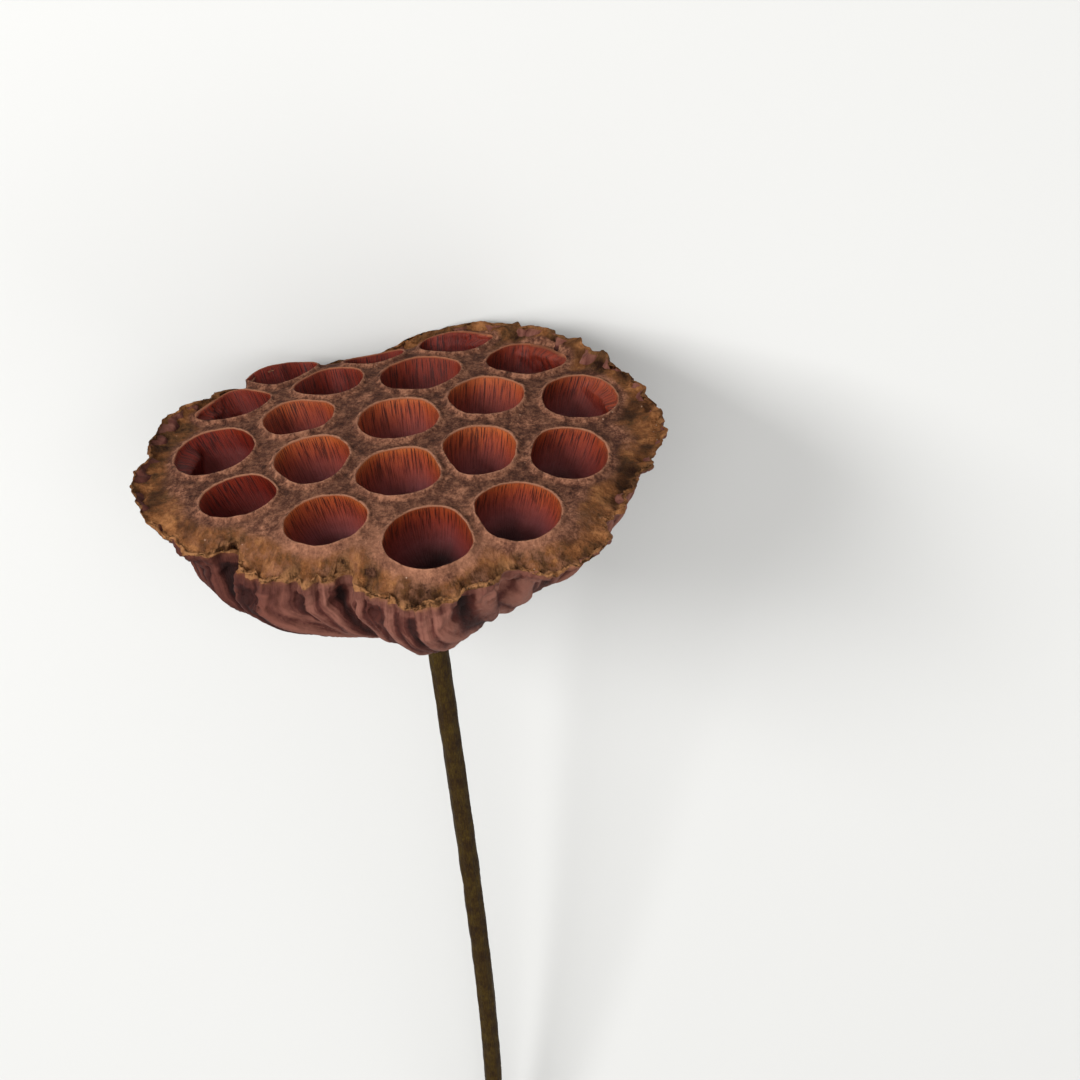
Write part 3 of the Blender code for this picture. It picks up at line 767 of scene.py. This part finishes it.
@dataclass
class PodHead:
    """The seed head in full detail, on the form of its solid."""

    form: PodForm
    lie: Lie
    rim_columns: int = 720
    coarse_columns: int = 144
    cell_columns: int = 72
    net_step: float = 1.05
    net_margin: float = 0.5
    net_shake: float = 0.2
    widest_reach: float = 12.5
    far_from_cells: float = 9.0
    valley_start: float = 0.9
    valley_rise: float = 0.8
    valley_end: float = 2.6
    valley_fall: float = 2.0
    crust_reach: float = 15.0
    lip_unevenness: float = 0.22
    lip_wobble: float = 0.16
    face_reach: float = 62.0
    collar: tuple[tuple[float, float], ...] = ((1.1, 1.0), (0.8, 0.62), (0.5, 0.2), (0.24, 0.0), (0.05, 0.06))
    cell_depth: float = 15.5
    shallower_at_rim: float = 4.0
    cells_aim_at: Vector = field(default_factory=lambda: Vector((0.0, 0.0, -105.0)))
    wall_widths: tuple[tuple[float, float], ...] = (
        (0.0, 0.995), (0.12, 1.0), (0.4, 0.98), (0.7, 0.86), (0.9, 0.62), (0.975, 0.34),
    )
    wall_levels: int = 15
    wood: float = 1.6
    fibre_relief: float = 0.012
    lip_folds_in: float = 0.03
    drawn_in: float = 0.93
    drawn_steps: int = 16
    skin_steps: tuple[int, ...] = (7, 6, 5, 4, 4, 4, 4, 4, 4, 4, 4, 4)
    neck: tuple[tuple[float, float], ...] = ((7.6, -39.5), (5.0, -42.0), (3.9, -45.5))
    front_angle: float = math.radians(250)
    shaded_angle: float = math.radians(195)
    neck_ribs: float = 0.16
    ribs_from: float = 2.6
    socket_radius: float = 2.65
    socket_depth: float = 4.9
    skins: list[list[Vector]] = field(init=False)
    outlines: list[list[float]] = field(init=False)

    def __post_init__(self) -> None:
        """Reads the form's outer skin and the cells' outlines once."""
        self.skins = [self.form.outside(math.tau * k / self.rim_columns) for k in range(self.rim_columns)]
        headings = [self.heading(k) for k in range(self.cell_columns)]
        radius = self.form.opening_radius
        self.outlines = [[radius(cell, heading) for heading in headings] for cell in self.form.cells]

    def heading(self, column: int) -> Vector:
        """The direction of one column of a cell."""
        angle = math.tau * column / self.cell_columns
        return Vector((math.cos(angle), math.sin(angle)))

    def lip_height(self, x: float, y: float) -> float:
        """Height of a lip at a point of the face, with its slight unevenness."""
        return self.form.dome_height(x, y) + self.lip_unevenness * noise.noise(Vector((x, y, 0.0)) * 0.16)

    def opening_point(self, cell: int, column: int, grown: float) -> Vector:
        """A point of a cell's outline across the face, grown by a margin."""
        wobble = self.lip_wobble * noise.noise(Vector((cell * 7.0, column * 0.35, 0.0)))
        reach = self.outlines[cell][column] + grown + wobble
        return self.form.cells[cell].middle() + self.heading(column) * reach

    def column_towards(self, away: Vector) -> int:
        """The column of a cell that points the same way as a vector."""
        return round(math.atan2(away.y, away.x) / math.tau * self.cell_columns) % self.cell_columns

    def in_cell(self, point: Vector, grown: float) -> bool:
        """Whether a point of the face lies in a cell's opening, grown by a margin."""
        for cell, outline in zip(self.form.cells, self.outlines):
            away = point - cell.middle()
            if away.length < self.widest_reach and away.length < outline[self.column_towards(away)] + grown:
                return True
        return False

    def net_points(self) -> list[Vector]:
        """Points between the cells that carry the skin's relief."""
        draw = random.Random(4)
        shake = -self.net_shake, self.net_shake
        points = []
        rows = round(2 * self.face_reach / self.net_step)
        for row in range(rows + rows // 6):
            for column in range(rows):
                x = (column + 0.5 * (row % 2)) * self.net_step - self.face_reach + draw.uniform(*shake)
                y = row * self.net_step * math.sqrt(0.75) - self.face_reach + draw.uniform(*shake)
                point = Vector((x, y))
                place = round(math.atan2(y, x) / math.tau * self.rim_columns) % self.rim_columns
                rim = self.skins[place][0].to_2d().length - self.form.top_edge_inset - self.net_margin
                if point.length < rim and not self.in_cell(point, self.collar[0][0] + self.net_margin):
                    points.append(point)
        return points

    def lay_face(self, work: MeshWork) -> list[Ring]:
        """Lays the skin between the rim and the cells.

        Args:
            work: The mesh to add it to.

        Returns:
            The face's outer ring, and then a ring for each cell's collar.
        """
        form = self.form
        rings = []
        turns = [math.tau * column / self.rim_columns for column in range(self.rim_columns)]
        rings.append([form.rim_point(angle, form.top_edge_inset, 0.0).to_2d() for angle in turns])
        for cell in range(len(form.cells)):
            rings.append([self.opening_point(cell, k, self.collar[0][0]) for k in range(self.cell_columns)])
        points = []
        loops = []
        for ring in rings:
            loops.append(range(len(points), len(points) + len(ring)))
            points += ring
        points += self.net_points()
        places, _, faces, origins, _, inside = delaunay_2d_cdt(points, [], loops, 0, 1e-5)
        verts = [work.bm.verts.new((x, y, form.face_height(x, y))) for x, y in places]
        vert_of = {point: vert for vert, origin in zip(verts, origins) for point in origin}
        for face, held_by in zip(faces, inside):
            if held_by == [0]:
                work.bm.faces.new([verts[index] for index in face])
        for vert in verts:
            self.mark_face(work, vert)
        return [[vert_of[point] for point in loop] for loop in loops]

    def mark_face(self, work: MeshWork, vert: Vert) -> None:
        """Marks how near a point of the face is to the rim, the lit front and the cells, and where the
        painted shade of the valleys round the cells falls.
        """
        x, y, _ = vert.co
        nearest = self.far_from_cells
        for cell, outline in zip(self.form.cells, self.outlines):
            away = Vector((x, y)) - cell.middle()
            nearest = min(nearest, away.length - outline[self.column_towards(away)])
        share = self.form.flange_share(x, y)
        lit_front = self.front_share(x, y)
        # Painted shade in the valley round the cells, none at the lit front.
        valley = smooth_step((nearest - self.valley_start) / self.valley_rise) * (1 - lit_front)
        valley *= 1 - smooth_step((nearest - self.valley_end) / self.valley_fall)
        reach = math.hypot(x, y) - self.form.station(math.atan2(y, x)).rim
        band = smooth_step(reach / self.crust_reach + 1) * smooth_step((nearest + 0.6) / 4.2)
        work.mark(vert, rim=share, lit_front=lit_front, valley=valley * (1 - share), band=band)

    def front_share(self, x: float, y: float) -> float:
        """How far a place belongs to the front of the head, which is painted lighter as the side that faces
        the light, from 0 to 1.
        """
        return smooth_step((-0.2 * x - y - 8.0) / 26.0)

    def too_near_skin(self, point: Vector) -> bool:
        """Whether a point of a cell's wall comes too near the outer skin."""
        coarse = self.rim_columns // self.coarse_columns
        nearest = round(math.atan2(point.y, point.x) / math.tau * self.coarse_columns)
        for column in range(nearest - 2, nearest + 3):
            skin = self.skins[(column * coarse) % self.rim_columns]
            for upper, lower in zip(skin, skin[1:]):
                if lower.z - self.wood <= point.z <= upper.z + self.wood:
                    if point.to_2d().length > min(upper.to_2d().length, lower.to_2d().length) - self.wood:
                        return True
        return False

    def wall_width(self, down: float) -> float:
        """Share of the opening's width at a share of the cell's depth."""
        for (above, wide), (below, narrow) in zip(self.wall_widths, self.wall_widths[1:]):
            if down <= below:
                t = (down - above) / (below - above)
                return wide + (narrow - wide) * t
        return self.wall_widths[-1][1]

    def shade(self, x: float, y: float) -> float:
        """How deep the painted shade on a cell's wall is: most at the back and the left, less at the right
        and the front.
        """
        sides = max(smooth_step((-x - 12) / 26), 0.6 * smooth_step((x - 22) / 16))
        return max(sides, smooth_step((y - 12) / 30), 0.6 * smooth_step((-y - 18) / 16))

    def hollow_cell(self, work: MeshWork, cell: int, foot: Ring) -> None:
        """Raises a cell's collar and sinks its wall.

        Args:
            work: The mesh to add it to.
            cell: Which cell.
            foot: The ring at the foot of the collar.
        """
        x, y = self.form.cells[cell].middle()
        middle = Vector((x, y, self.form.dome_height(x, y)))
        aim = (self.cells_aim_at - middle).normalized()
        depth = self.cell_depth - self.shallower_at_rim * (math.hypot(x, y) / 50) ** 2
        # Painted shade: the pale lips dim towards the back of the face.
        lip_light_share = 1.0 - 0.45 * smooth_step((y - 5) / 35)
        ring = foot
        for grown, fall in self.collar[1:]:
            ring = work.extrude(ring, Zone.FACE)
            for column, vert in enumerate(ring):
                edge = self.opening_point(cell, column, grown)
                low = self.form.face_height(edge.x, edge.y)
                high = self.lip_height(edge.x, edge.y)
                vert.co = (edge.x, edge.y, high + (low - high) * fall)
                work.mark(vert, lip=smooth_step(1.1 - 1.1 * fall - 1.0 * grown) * lip_light_share, band=0.0)
        spokes = []
        for column in range(self.cell_columns):
            edge = self.opening_point(cell, column, 0.0)
            spokes.append(Vector((edge.x, edge.y, self.lip_height(edge.x, edge.y))) - middle)
        around = 0.0
        # Painted shade on this cell's wall, by where the cell lies on the face.
        painted_shade = self.shade(x, y)
        for level in range(1, self.wall_levels + 1):
            down = self.wall_widths[-1][0] * (level / self.wall_levels) ** 1.25
            width = self.wall_width(down)
            ring = work.extrude(ring, Zone.WALL)
            for column, (vert, spoke) in enumerate(zip(ring, spokes)):
                reach = width
                for _ in range(self.drawn_steps):
                    if self.too_near_skin(middle + aim * depth * down + spoke * reach):
                        reach *= self.drawn_in
                angle = math.tau * column / self.cell_columns
                spot = Vector((4.5 * math.cos(angle), 4.5 * math.sin(angle), cell * 3.0 + down))
                reach -= self.fibre_relief * noise.noise(spot * 2.2) * (1 - down)
                vert.co = middle + aim * depth * down + spoke * reach
                around = cell * 90.0 + angle * 8.5
                lip = 0.85 * lip_light_share * smooth_step(1 - down / self.lip_folds_in)
                work.mark(vert, depth=down, around=around, lip=lip, painted_shade=painted_shade)
        floor = sum((vert.co for vert in ring), Vector()) / len(ring)
        tip = work.close(ring, floor + aim * depth * 0.02, Zone.WALL)
        work.mark(tip, depth=1.0, around=around, painted_shade=painted_shade)

    def level_marks(self, place: float, angle: float) -> dict[str, float]:
        """What a point of the outer skin carries, by its place down the form's levels."""
        form = self.form
        down = curve_through([0.0, 0.0, 0.0, *(step for step, _ in form.underside), 1.0], place)
        spot = form.pleat_place(angle, down)
        second = self.second_fold(spot, down)
        ridge = 0.62 * form.pleat(angle, down) + 0.45 * second
        # The front of the rim, where the painted light on the pale edge is strongest.
        lit_front = smooth_step((math.cos(angle - self.front_angle) - 0.1) / 0.6)
        rim = form.station(angle).rim
        return {
            "lit_front": self.front_share(rim * math.cos(angle), rim * math.sin(angle)),
            # Painted shade on the underside's left side, round the shaded angle.
            "painted_shade": smooth_step((math.cos(angle - self.shaded_angle) - 0.72) / 0.22),
            "rim": 1.0,
            "band": 1.0,
            "down": down,
            "around": spot * 8.0,
            "ridge": ridge if place > 1.5 else 0.75,
            # The pale edge of the rim, with painted light that makes it strongest at the front.
            "edge": smooth_step((1.3 - place) / 0.8) * (0.35 + 0.65 * lit_front),
            "second": second,
        }

    def second_fold(self, spot: float, down: float) -> float:
        """How far the narrower folds between the pleats stand out, from 0 to 1."""
        wander = 0.45 * noise.noise(Vector((spot * 0.7, down * 2.5, 9.0)))
        return abs(math.sin(math.pi * (2.3 * spot + 1.6 * wander))) ** 0.8

    def wrap_outside(self, work: MeshWork, ring: Ring) -> Ring:
        """Takes the face's edge over the rim and down the underside.

        Args:
            work: The mesh to add it to.
            ring: The face's outer ring.

        Returns:
            The last ring, just above the neck.
        """
        levels = enumerate(self.skin_steps)
        places = [level + step / steps for level, steps in levels for step in range(steps)]
        for place in [*places, len(self.skin_steps)]:
            ring = work.extrude(ring, Zone.FACE if place < 0.9 else Zone.UNDERSIDE)
            for column, vert in enumerate(ring):
                skin = self.skins[column]
                angle = math.tau * column / self.rim_columns
                vert.co = [curve_through([point[axis] for point in skin], place) for axis in range(3)]
                work.mark(vert, **self.level_marks(place, angle))
        return ring

    def shape_neck(self, work: MeshWork, ring: Ring) -> None:
        """Closes the underside with the neck and the socket that the stem stands in."""
        x, y = self.form.neck_at
        foot = self.neck[-1][1]
        end = foot + self.socket_depth
        radii = [radius for radius, _ in self.neck]
        heights = [height for _, height in self.neck]
        smooth = [(curve_through(radii, k / 4), curve_through(heights, k / 4)) for k in range(1, 9)]
        socket = (3.2, foot - 0.1), (self.socket_radius, foot), (self.socket_radius, end)
        levels = [self.neck[0], *smooth, *socket]
        for radius, height in levels:
            ring = work.extrude(ring, Zone.UNDERSIDE)
            for column, vert in enumerate(ring):
                angle = math.tau * column / self.rim_columns
                rib = self.neck_ribs * math.sin(22 * angle + 2 * math.sin(3 * angle))
                reach = radius + rib * smooth_step(radius - self.ribs_from)
                vert.co = (x + reach * math.cos(angle), y + reach * math.sin(angle), height)
                work.mark(vert, down=1.0, ridge=0.6, around=angle * 30)
        work.close(ring, Vector((x, y, end)), Zone.UNDERSIDE)

    def add_relief(self, work: MeshWork) -> None:
        """Moves every point along its normal by the small relief of its kind of surface."""
        work.bm.normal_update()
        relief = Relief()
        layers = work.layers
        moves = []
        for vert in work.bm.verts:
            place = vert.co
            vert[layers["x"]], vert[layers["y"]], _ = place
            marks = {name: vert[layer] for name, layer in layers.items()}
            zone = max(face.material_index for face in vert.link_faces)
            if zone == Zone.WALL.value:
                rise = relief.wall * noise.noise(place * 1.3)
            elif zone == Zone.FACE.value:
                rise = relief.on_face(place, marks)
            else:
                rise = relief.on_underside(place, marks)
            moves.append((vert, vert.normal * rise))
        for vert, move in moves:
            vert.co += move

    def build(self) -> bpy.types.Object:
        """Builds and dresses the seed head.

        Returns:
            The piece, which stands for the solid of the seed head.
        """
        work = MeshWork()
        outer, *collars = self.lay_face(work)
        for cell, collar in enumerate(collars):
            self.hollow_cell(work, cell, collar)
        ring = self.wrap_outside(work, outer)
        self.shape_neck(work, ring)
        bmesh.ops.recalc_face_normals(work.bm, faces=work.bm.faces)
        self.add_relief(work)
        finishes = (FaceSkin().material(), CellWall().material(), PleatedSkin().material())
        piece = work.finish("seed_head", self.lie.matrix(), finishes)
        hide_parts("pod_head")
        return piece


@dataclass
class CutStem:
    """The stem, from the socket in the neck to its cut end."""

    form: PodForm
    lie: Lie
    radius_top: float = 2.35
    radius_end: float = 1.95
    length: float = 200.0
    top: float = -40.9
    bend_x: float = -8.0
    bend_y: float = 6.0
    bends_late: int = 4
    columns: int = 56
    levels: int = 240
    ribs: float = 0.05
    knots: float = 0.16
    grain: float = 0.05
    slimmer: float = 0.04
    bark: float = 0.25
    pith_radius: float = 0.95
    pith_depth: float = 5.0

    def place(self, t: float) -> Vector:
        """The middle of the stem at a share of its length."""
        x, y = self.form.neck_at
        across, away = self.bend_x * t**self.bends_late, self.bend_y * t * t
        return Vector((x + across, y + away, self.top - self.length * t))

    def radius(self, t: float, angle: float) -> float:
        """The stem's radius at a share of its length and an angle, with its fine ribs and knots."""
        plain = self.radius_top + (self.radius_end - self.radius_top) * t
        across, away = math.cos(angle), math.sin(angle)
        rib = self.ribs * math.sin(9 * angle + 3 * noise.noise(Vector((t * 6.0, 0.0, 0.0))))
        knot = self.knots * noise.noise(Vector((across, away, t * 34.0)))
        grain = self.grain * noise.noise(Vector((3 * across, 3 * away, t * 150.0)))
        return plain + (rib + knot + grain) * smooth_step((t - 0.02) / 0.02) - self.slimmer

    def build(self) -> bpy.types.Object:
        """Builds and dresses the stem.

        Returns:
            The piece, which stands for the solid of the stem.
        """
        work = MeshWork()
        ring = work.circle(self.columns)
        start = ring
        for level in range(self.levels + 1):
            t = level / self.levels
            if level:
                ring = work.extrude(ring, Zone.FACE)
            for column, vert in enumerate(ring):
                angle = math.tau * column / self.columns
                reach = self.radius(t, angle)
                vert.co = self.place(t) + Vector((reach * math.cos(angle), reach * math.sin(angle), 0.0))
                work.mark(vert, around=angle * 6.0, down=t * 9.0)
        work.close(start, self.place(0.0), Zone.FACE)
        edge = self.radius_end - self.bark, 0.0
        hollow = (self.pith_radius, 0.05), (self.pith_radius - 0.1, self.pith_depth)
        for reach, depth in (edge, *hollow):
            ring = work.extrude(ring, Zone.FACE)
            for column, vert in enumerate(ring):
                angle = math.tau * column / self.columns
                spot = Vector((2 * math.cos(angle), 2 * math.sin(angle), 8.0))
                uneven = reach * (1 + 0.06 * noise.noise(spot))
                middle = self.place(1.0) + Vector((0.0, 0.0, depth))
                vert.co = middle + Vector((uneven * math.cos(angle), uneven * math.sin(angle), 0.0))
                work.mark(vert, pith=1.0)
        work.close(ring, self.place(1.0) + Vector((0.0, 0.0, self.pith_depth)), Zone.FACE)
        piece = work.finish("cut_stem", self.lie.matrix(), (StemBark().material(),))
        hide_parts("stem")
        return piece


@dataclass
class Studio:
    """The pale surface, the soft lights and the camera."""

    lie: Lie
    floor_size: float = 8.0
    elevation: float = math.radians(33.0)
    roll: float = math.radians(8.6)
    distance: float = 800.0
    frame_pixels: float = 1080.0
    focal_pixels: float = 3761.0
    sensor: float = 36.0
    face_shows_at: tuple[float, float] = (397.0, 455.0)

    def lay_floor(self) -> None:
        """Lays the pale surface that the pod lies on."""
        bm = bmesh.new()
        bmesh.ops.create_grid(bm, x_segments=1, y_segments=1, size=self.floor_size / 2)
        mesh = bpy.data.meshes.new("pale_surface")
        bm.to_mesh(mesh)
        bm.free()
        mesh.materials.append(PaleSurface().material())
        floor = bpy.data.objects.new("pale_surface", mesh)
        bpy.context.scene.collection.objects.link(floor)

    def add_softbox(self, name: str, place: Vector, aim: Vector, size: float, power: float) -> None:
        """Hangs one soft light.

        Args:
            name: The light's name.
            place: Where it hangs, in metres.
            aim: What it points at.
            size: The width of its square, in metres.
            power: Its power, in watts.
        """
        light = bpy.data.lights.new(name, "AREA")
        light.shape = "SQUARE"
        light.size = size
        light.energy = power
        lamp = bpy.data.objects.new(name, light)
        lamp.location = place
        lamp.rotation_euler = (aim - place).to_track_quat("-Z", "Y").to_euler()
        bpy.context.scene.collection.objects.link(lamp)

    def light(self) -> None:
        """Lights the pod softly, mostly from the left of the picture and from above."""
        aim = Vector((0.06, 0.0, 0.04))
        self.add_softbox("key_light", Vector((0.55, 0.75, 0.95)), aim, 0.5, 17.0)
        self.add_softbox("top_light", Vector((0.25, -0.1, 1.5)), aim, 1.2, 14.0)
        self.add_softbox("fill_light", Vector((-0.5, -0.9, 0.8)), aim, 0.9, 5.0)
        world = bpy.data.worlds.new("studio")
        world.use_nodes = True
        world.node_tree.nodes["Background"].inputs["Color"].default_value = (1.0, 0.995, 0.985, 1)
        world.node_tree.nodes["Background"].inputs["Strength"].default_value = 0.55
        bpy.context.scene.world = world
        bpy.context.scene.view_settings.view_transform = "Standard"

    def aim_camera(self) -> None:
        """Sets the camera as it stood to the face, with the face's middle at its place in the picture."""
        rise, out = math.sin(self.elevation), math.cos(self.elevation)
        place = Vector((0.0, -self.distance * out, self.distance * rise))
        forward = -place.normalized()
        level = forward.cross(Vector((0, 0, 1))).normalized()
        upright = level.cross(forward)
        right = level * math.cos(self.roll) - upright * math.sin(self.roll)
        up = level * math.sin(self.roll) + upright * math.cos(self.roll)
        half = self.frame_pixels / 2
        across = (self.face_shows_at[0] - half) / self.focal_pixels
        below = (self.face_shows_at[1] - half) / self.focal_pixels
        to_face = Vector((across, -below, 1.0)).normalized()
        swing = Vector((0, 0, 1)).rotation_difference(to_face).to_matrix()
        axes = swing @ Matrix((right, up, forward))
        turn = self.lie.matrix().to_3x3().normalized()
        rows = [turn @ Vector(row) for row in axes]
        facing = Matrix((rows[0], rows[1], -rows[2])).transposed()
        camera = bpy.data.cameras.new("camera")
        camera.sensor_width = self.sensor
        camera.lens = self.focal_pixels / self.frame_pixels * self.sensor
        camera.clip_start = 0.01
        camera.clip_end = 20.0
        holder = bpy.data.objects.new("camera", camera)
        holder.matrix_world = Matrix.Translation(self.lie.matrix() @ place) @ facing.to_4x4()
        bpy.context.scene.collection.objects.link(holder)
        bpy.context.scene.camera = holder

    def build(self) -> None:
        """Sets up the surface, the lights and the camera."""
        self.lay_floor()
        self.light()
        self.aim_camera()


def main() -> None:
    """Builds the pod and its studio."""
    logging.basicConfig(level=logging.INFO, format="%(name)s: %(message)s")
    lie = Lie()
    form = PodForm()
    Studio(lie).build()
    PodHead(form, lie).build()
    CutStem(form, lie).build()


if __name__ == "__main__":
    main()
